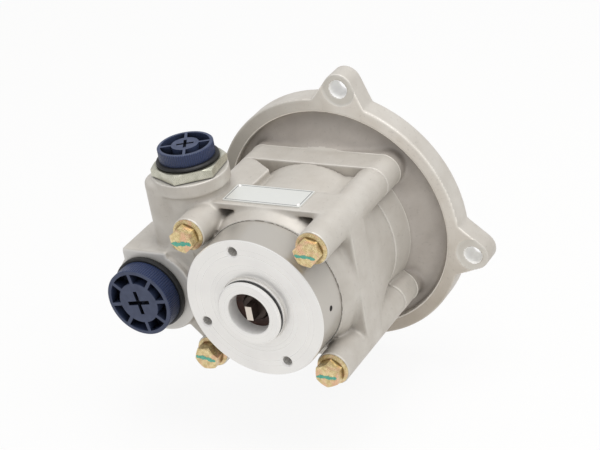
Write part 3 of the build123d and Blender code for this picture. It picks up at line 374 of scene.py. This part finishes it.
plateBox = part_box("nameplate")
labelLook = {"light": "e6e6e1", "shade": "dcddd9", "line": "66676a", "grainMm": 0.4, "grainDepthMm": 0.004,
             "lineMm": 1.5, "lineWidthMm": 0.55, "rough": 0.36, "metallic": 0.35,
             "centre": tuple((low + high) / 2 for low, high in zip(*plateBox)),
             "halfMm": [(plateBox[1][k] - plateBox[0][k]) * 500 for k in (0, 1)]}
plateAluminium = platedLabel("plateAluminium", labelLook)
print("materials made")

finishOf = {
    "bell_flange": castAluminium, "pump_body": castAluminium, "rear_cover": padMetal,
    "clamp_bolts": yellowZinc, "cover_lock_ring": darkSteel, "cover_seal_ring": blackRubber,
    "spigot_seal_ring": blackRubber, "body_seal_ring": blackRubber, "flange_seal_ring": blackRubber,
    "side_plate_seal_ring": blackRubber, "rear_shaft_seal": brownRubber, "front_shaft_seal": brownRubber,
    "rear_bush": bushBronze, "bearing_cage": nylonCage, "bearing_circlip": darkSteel,
    "shaft_circlip": darkSteel, "cartridge_spring": darkSteel, "shaft_washer": paleZinc,
    "shaft_nut": paleZinc, "pressure_adapter": paleZinc, "adapter_washer": turnedAluminium,
    "flow_spring": darkSteel, "relief_spring": darkSteel, "pressure_plug": pressureBlue,
    "pressure_plug_ring": blackRubber, "suction_plug": suctionBlue, "suction_plug_ring": blackRubber,
    "nameplate": plateAluminium, "nameplate_rivets": turnedAluminium, "drive_shaft": oiledShadedSteel,
}
for nodeName, node in nodes.items():
    node.data.materials.clear()
    node.data.materials.append(finishOf.get(nodeName, groundSteel))
print("finishes on the solids")


# one even copy of a solid, without the doubled points of its loose triangles
def mergedCopy(nodeName):
    mesh = nodes[nodeName].data.copy()
    shape = bmesh.new()
    shape.from_mesh(mesh)
    bmesh.ops.remove_doubles(shape, verts=shape.verts, dist=0.005 * mm)
    shape.to_mesh(mesh)
    shape.free()
    mesh.materials.clear()
    return mesh


def evaluatedMesh(holder):
    graph = bpy.context.evaluated_depsgraph_get()
    return bpy.data.meshes.new_from_object(holder.evaluated_get(graph), depsgraph=graph)


# outward normals of points, summed over the quads that meet there
def pointNormals(points, quads):
    a, b, c, d = (points[quads[:, k]] for k in range(4))
    face = np.cross(c - a, d - b)
    total = np.column_stack([
        sum(np.bincount(quads[:, k], face[:, axis], len(points)) for k in range(4)) for axis in range(3)])
    return total / np.maximum(np.linalg.norm(total, axis=1, keepdims=True), 1e-20)


# each pass moves a point half way to the middle of its neighbours; where that fills a hollow it counts in full,
# and where it would wear an outer edge down only edgeShare of it counts
def relax(points, quads, edges, free, look):
    first, second = edges[:, 0], edges[:, 1]
    count = np.bincount(edges.ravel(), minlength=len(points))[:, None]
    for _ in range(look["passes"]):
        total = np.column_stack([
            np.bincount(first, points[second, k], len(points))
            + np.bincount(second, points[first, k], len(points)) for k in range(3)])
        step = 0.5 * free[:, None] * (total / count - points)
        normals = pointNormals(points, quads)
        outward = np.sum(step * normals, axis=1)
        edgeHighlight = np.where(outward < 0, outward * (1 - look["edgeShare"]), 0.0)
        points = points + step - normals * edgeHighlight[:, None]
    return points


def fromAxis(points, centre, axes):
    return np.hypot(points[:, axes[0]] - centre[0], points[:, axes[1]] - centre[1])


boltPlaces = [(-47.0, -46.2), (-47.0, 46.2), (47.0, -46.2), (47.0, 46.2)]
jointY = -40.5
earCircle = 105.0
earAngles = [math.radians(degrees) for degrees in (80.3, 170.3, 260.3, 350.3)]
earPlaces = [(earCircle * math.cos(angle), earCircle * math.sin(angle)) for angle in earAngles]


# how far each point is, in mm, from a place that a tool has cut; 0 inside one
def bodyCuts(p):
    gaps = [fromAxis(p, (0, 0), (0, 2)) - 54.0, np.abs(p[:, 1] - jointY) - 0.5, p[:, 1] + 130.5]
    gaps += [fromAxis(p, place, (0, 2)) - 6.3 for place in boltPlaces]
    suction = fromAxis(p, suctionPlace, (0, 2))
    gaps += [np.maximum(suction - 20.5, p[:, 1] + 78), np.maximum(p[:, 1] + 121.2, p[:, 0] + 60)]
    pressure = fromAxis(p, pressurePlace, (0, 1))
    gaps += [np.maximum(pressure - 17.4, 3 - p[:, 2]), 73.9 - p[:, 2]]
    return np.clip(np.min(gaps, axis=0), 0, None)


def bellCuts(p):
    radius = fromAxis(p, (0, 0), (0, 2))
    gaps = [radius - 56.3, np.abs(p[:, 1] - jointY) - 0.5, -0.9 - p[:, 1]]
    gaps.append(np.maximum(radius - 84, -7.4 - p[:, 1]))
    gaps += [fromAxis(p, place, (0, 2)) - 6.3 for place in boltPlaces]
    for ear in earPlaces:
        gaps.append(np.maximum(fromAxis(p, ear, (0, 2)) - 12.4, np.abs(p[:, 1] + 15.3) - 0.6))
        gaps.append(fromAxis(p, ear, (0, 2)) - 7.0)
    return np.clip(np.min(gaps, axis=0), 0, None)


skinLook = {
    "pump_body": {"voxelMm": 1.0, "passes": 9, "edgeShare": 0.12, "cuts": bodyCuts},
    "bell_flange": {"voxelMm": 1.0, "passes": 8, "edgeShare": 0.12, "cuts": bellCuts},
}


# a casting: the solid remeshed evenly, its inner corners filled and its outer edges eased. Points on a cut face
# are laid back on the solid
def makeCasting(nodeName, look):
    holder = bpy.data.objects.new("source_" + nodeName, mergedCopy(nodeName))
    bpy.context.collection.objects.link(holder)
    remesh = holder.modifiers.new("even", "REMESH")
    remesh.mode = "VOXEL"
    remesh.voxel_size = look["voxelMm"] * mm
    even = evaluatedMesh(holder)
    holder.modifiers.clear()
    points = np.empty(len(even.vertices) * 3)
    even.vertices.foreach_get("co", points)
    points = points.reshape(-1, 3)
    edges = np.empty(len(even.edges) * 2, dtype=np.int32)
    even.edges.foreach_get("vertices", edges)
    quads = np.empty(len(even.loops), dtype=np.int32)
    even.loops.foreach_get("vertex_index", quads)
    free = np.clip(look["cuts"](points / mm) / 1.2, 0, 1)
    relaxed = relax(points, quads.reshape(-1, 4), edges.reshape(-1, 2), free, look)
    even.vertices.foreach_set("co", relaxed.ravel())
    even.update()
    casting = bpy.data.objects.new("cast_" + nodeName, even)
    bpy.context.collection.objects.link(casting)
    cutGroup = casting.vertex_groups.new(name="cut")
    cutGroup.add(np.nonzero(free < 0.02)[0].tolist(), 1.0, "REPLACE")
    wrap = casting.modifiers.new("cutFaces", "SHRINKWRAP")
    wrap.target = holder
    wrap.vertex_group = "cut"
    final = evaluatedMesh(casting)
    casting.modifiers.clear()
    casting.vertex_groups.clear()
    casting.data = final
    bpy.data.objects.remove(holder)
    final.polygons.foreach_set("use_smooth", np.ones(len(final.polygons), dtype=bool))
    final.update()
    print(casting.name, len(final.polygons) * 2, "triangles")
    return casting


def faceCentres(mesh):
    centres = np.empty(len(mesh.polygons) * 3)
    mesh.polygons.foreach_get("center", centres)
    return centres.reshape(-1, 3) / mm


castings = {}
for nodeName, look in skinLook.items():
    casting = makeCasting(nodeName, look)
    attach(casting, "housing")
    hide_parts(nodeName)
    casting.data.materials.append(castAluminium)
    castings[nodeName] = casting

# edges of the cut faces, in mm
bodyFaces = {"suctionFaceY": -121.15, "suctionRight": -60, "suctionBore": 19.6, "collarTop": 73.9,
             "boltSeatY": -130.6, "boltSeatsFrom": 54, "coverBore": 52.6}
bellFaces = {"rimFrontY": -15.6, "footEndY": -20.4, "backY": -0.5, "flatTop": 57.9, "flatEndY": -19.5,
             "bearingBore": 27.8, "spotRadius": 12.5, "spotFrontY": -14.9, "earHole": 6.9}


# faces that a tool has cut get a turned finish. Later lines win over earlier ones
def finishBody(skin, edge):
    for metal in (suctionFaceMetal, pressureFaceMetal, turnedAluminium, earFaceMetal):
        skin.materials.append(metal)
    at = faceCentres(skin)
    fromShaft = fromAxis(at, (0, 0), (0, 2))
    finish = np.zeros(len(at), dtype=np.int32)
    finish[(at[:, 1] < edge["suctionFaceY"]) & (at[:, 0] < edge["suctionRight"])] = 1
    finish[fromAxis(at, suctionPlace, (0, 2)) < edge["suctionBore"]] = 1
    finish[at[:, 2] > edge["collarTop"]] = 2
    finish[(at[:, 1] < edge["boltSeatY"]) & (fromShaft > edge["boltSeatsFrom"])] = 4
    finish[fromShaft < edge["coverBore"]] = 3
    skin.polygons.foreach_set("material_index", finish)


def finishBell(skin, edge):
    for metal in (turnedAluminium, rimMetal, shadedDishMetal, earFaceMetal, earHoleMetal):
        skin.materials.append(metal)
    at = faceCentres(skin)
    fromShaft = fromAxis(at, (0, 0), (0, 2))
    finish = np.zeros(len(at), dtype=np.int32)
    finish[(fromShaft > rimInner) & (at[:, 1] < edge["rimFrontY"])] = 2
    inDish = (fromShaft < rimInner) & (at[:, 1] > edge["footEndY"]) & (at[:, 1] < edge["backY"])
    finish[inDish & ((at[:, 2] < edge["flatTop"]) | (at[:, 1] > edge["flatEndY"]))] = 3
    finish[at[:, 1] > edge["backY"]] = 1
    finish[fromShaft < edge["bearingBore"]] = 1
    for ear in earPlaces:
        finish[(fromAxis(at, ear, (0, 2)) < edge["spotRadius"]) & (at[:, 1] < edge["spotFrontY"])] = 4
        finish[fromAxis(at, ear, (0, 2)) < edge["earHole"]] = 5
    skin.polygons.foreach_set("material_index", finish)


finishBody(castings["pump_body"].data, bodyFaces)
finishBell(castings["bell_flange"].data, bellFaces)
print("castings made")

ridgeLook = {"y": -20.5, "footRadius": 59.5, "bossRadius": 12.2, "topZ": 58.2, "topHalf": 47.0, "ridgeMm": 0.38}


# the thin ridge left where the die halves met, round the foot of the bell. Its path is the outline of a circle,
# four bosses and a flat top: at each angle, the farthest of their radii. Its profile is a small circle, sunk
# half way into the casting, whose radius wanders with two sines
def makeDieRidge(look):
    angle = np.linspace(0, 2 * np.pi, 900, endpoint=False)
    c, s = np.cos(angle), np.sin(angle)
    roof = np.where(s > 0.2, look["topZ"] / np.maximum(s, 0.2), 1e3)
    reach = np.minimum(look["footRadius"], roof)
    for x, z in boltPlaces:
        near = x * c + z * s
        inside = look["bossRadius"] ** 2 - (x * x + z * z - near ** 2)
        far = near + np.sqrt(np.maximum(inside, 0))
        reach = np.where((inside > 0) & (near > 0), np.maximum(reach, far), reach)
    reach = np.where((s > 0.2) & (np.abs(roof * c) <= look["topHalf"]), np.maximum(reach, roof), reach)
    path = np.stack([reach * c, reach * s], axis=1)
    along = np.roll(path, -1, axis=0) - np.roll(path, 1, axis=0)
    along /= np.linalg.norm(along, axis=1, keepdims=True)
    outward = np.stack([along[:, 1], -along[:, 0]], axis=1)
    turn = np.linspace(0, 2 * np.pi, 10, endpoint=False)
    r = look["ridgeMm"] * (1 + 0.35 * np.sin(11 * angle) * np.sin(4 * angle + 1))
    x = path[:, 0, None] + r[:, None] * np.cos(turn) * outward[:, 0, None]
    z = path[:, 1, None] + r[:, None] * np.cos(turn) * outward[:, 1, None]
    y = look["y"] + r[:, None] * np.sin(turn)
    points = np.stack([x, y, z], axis=-1) * mm
    index = np.arange(points.shape[0] * points.shape[1]).reshape(points.shape[:2])
    onward, round_ = np.roll(index, -1, axis=0), np.roll(index, -1, axis=1)
    quads = np.stack([index, onward, np.roll(onward, -1, axis=1), round_], axis=-1).reshape(-1, 4)
    mesh = bpy.data.meshes.new("dieRidge")
    mesh.from_pydata(points.reshape(-1, 3).tolist(), [], quads.tolist())
    mesh.polygons.foreach_set("use_smooth", np.ones(len(mesh.polygons), dtype=bool))
    ridge = bpy.data.objects.new("die_ridge", mesh)
    bpy.context.collection.objects.link(ridge)
    mesh.materials.append(earFaceMetal)
    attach(ridge, "housing")


makeDieRidge(ridgeLook)

# a painted line across each bolt head, put on after the bolts were tightened
paintLook = {"headY": -141.4, "faceRadius": 7.6, "halfFlats": 8.0, "coneSlope": 0.577, "liftMm": 0.06,
             "lines": [(-47.0, 46.2, -1.6, 4, 3.0), (47.0, 46.2, -0.9, -4, 2.2),
                       (-47.0, -46.2, 0.3, -8, 2.8), (47.0, -46.2, -0.4, 2, 2.4)]}


# grid over (u along the line, v across it): the edges wander with two sines, and y follows the head's face
# and, past its rim, the chamfer
def makePaintLine(number, look):
    x, z, drop, tilt, width = look["lines"][number]
    u, v = np.meshgrid(np.linspace(-1, 1, 61), np.linspace(-0.5, 0.5, 9), indexing="ij")
    along = u * look["halfFlats"] * 0.97
    ragged = 1 + 0.25 * np.sin(9 * u + 2.1 * number) + 0.15 * np.sin(23 * u + number)
    end = np.sqrt(np.clip(1 - np.abs(u) ** 6, 0.02, 1))
    across = v * width * ragged * end + drop + 0.25 * np.sin(4 * u + number)
    turn = math.radians(tilt)
    px = along * math.cos(turn) - across * math.sin(turn)
    pz = along * math.sin(turn) + across * math.cos(turn)
    fall = np.clip(np.hypot(px, pz) - look["faceRadius"], 0, None) * look["coneSlope"]
    points = np.stack([x + px, look["headY"] - look["liftMm"] + fall, z + pz], axis=-1) * mm
    rows, columns = u.shape
    index = np.arange(rows * columns).reshape(rows, columns)
    corners = [index[:-1, :-1], index[1:, :-1], index[1:, 1:], index[:-1, 1:]]
    quads = np.stack([c.ravel() for c in corners], axis=1)
    mesh = bpy.data.meshes.new("paintLine%d" % number)
    mesh.from_pydata(points.reshape(-1, 3).tolist(), [], quads.tolist())
    line = bpy.data.objects.new("paint_line_%d" % number, mesh)
    bpy.context.collection.objects.link(line)
    mesh.materials.append(greenPaint)
    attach(line, "housing")


for number in range(len(paintLook["lines"])):
    makePaintLine(number, paintLook)
print("paint lines made")

# floor and backdrop: white to the camera, plain and pale to the light
floorHeight = cadBox[0][2] - 0.002


def makeFloor():
    size = 4.0
    corners = np.array([(-size, -size, 0), (size, -size, 0), (size, size, 0), (-size, size, 0)])
    mesh = bpy.data.meshes.new("floor")
    mesh.from_pydata((corners + (0, 0, floorHeight)).tolist(), [], [(0, 1, 2, 3)])
    floor = bpy.data.objects.new("floor", mesh)
    bpy.context.collection.objects.link(floor)
    material, tree = newMaterial("paleFloor")
    path = addNode(tree, "ShaderNodeLightPath")
    plain = addNode(tree, "ShaderNodeBsdfDiffuse", {"Color": linear("e6e4e0")})
    white = addNode(tree, "ShaderNodeEmission", {"Color": (1, 1, 1, 1), "Strength": 1.0})
    seen = calc(tree, "MAXIMUM", path.outputs["Is Camera Ray"], path.outputs["Is Glossy Ray"])
    share = calc(tree, "MULTIPLY", seen, 0.9)
    mixed = addNode(tree, "ShaderNodeMixShader", {0: share, 1: plain.outputs[0], 2: white.outputs[0]})
    finishMaterial(tree, mixed)
    mesh.materials.append(material)


makeFloor()


def makeWorld():
    world = bpy.data.worlds.new("studio")
    bpy.context.scene.world = world
    world.use_nodes = True
    tree = world.node_tree
    tree.nodes.clear()
    path = addNode(tree, "ShaderNodeLightPath")
    soft = addNode(tree, "ShaderNodeBackground", {"Color": linear("f2f3f5"), "Strength": 0.76})
    white = addNode(tree, "ShaderNodeBackground", {"Color": (1, 1, 1, 1), "Strength": 1.0})
    mixed = addNode(tree, "ShaderNodeMixShader", {
        0: path.outputs["Is Camera Ray"], 1: soft.outputs[0], 2: white.outputs[0]})
    out = addNode(tree, "ShaderNodeOutputWorld")
    tree.links.new(mixed.outputs[0], out.inputs["Surface"])


makeWorld()


def makeLamp(name, place, target, size, watts):
    lamp = bpy.data.lights.new(name, "AREA")
    lamp.shape = "DISK"
    lamp.size = size
    lamp.energy = watts
    holder = bpy.data.objects.new(name, lamp)
    back = (np.array(place) - np.array(target)) / np.linalg.norm(np.array(place) - np.array(target))
    right = np.cross((0, 0, 1.0), back)
    right /= np.linalg.norm(right)
    turn = np.eye(4)
    turn[:3, :3] = np.column_stack([right, np.cross(back, right), back])
    turn[:3, 3] = place
    holder.matrix_world = Matrix(turn.tolist())
    bpy.context.collection.objects.link(holder)


middle = (-0.01, -0.06, 0.0)
makeLamp("topLamp", (0.15, -0.1, 1.4), middle, 0.9, 8.0)
makeLamp("sideLamp", (0.9, -0.2, 1.1), middle, 0.9, 5.5)
print("floor, world and lamps made")

# camera: found by fitting the photograph's circles and bolt places
cameraPlace = (0.58399, -0.98583, 0.58597)
cameraRight = (0.874572, 0.458413, -0.158056)
cameraDown = (0.091899, -0.476750, -0.874222)
cameraAhead = (-0.476108, 0.750045, -0.459080)
cameraLens = 106.742


def makeCamera():
    data = bpy.data.cameras.new("photoCamera")
    data.lens = cameraLens
    data.sensor_width = 36
    data.clip_start = 0.01
    camera = bpy.data.objects.new("photoCamera", data)
    turn = np.eye(4)
    turn[:3, :3] = np.column_stack([cameraRight, -np.array(cameraDown), -np.array(cameraAhead)])
    turn[:3, 3] = cameraPlace
    camera.matrix_world = Matrix(turn.tolist())
    bpy.context.collection.objects.link(camera)
    bpy.context.scene.camera = camera


makeCamera()
bpy.context.scene.view_settings.view_transform = "Standard"
print("camera placed")
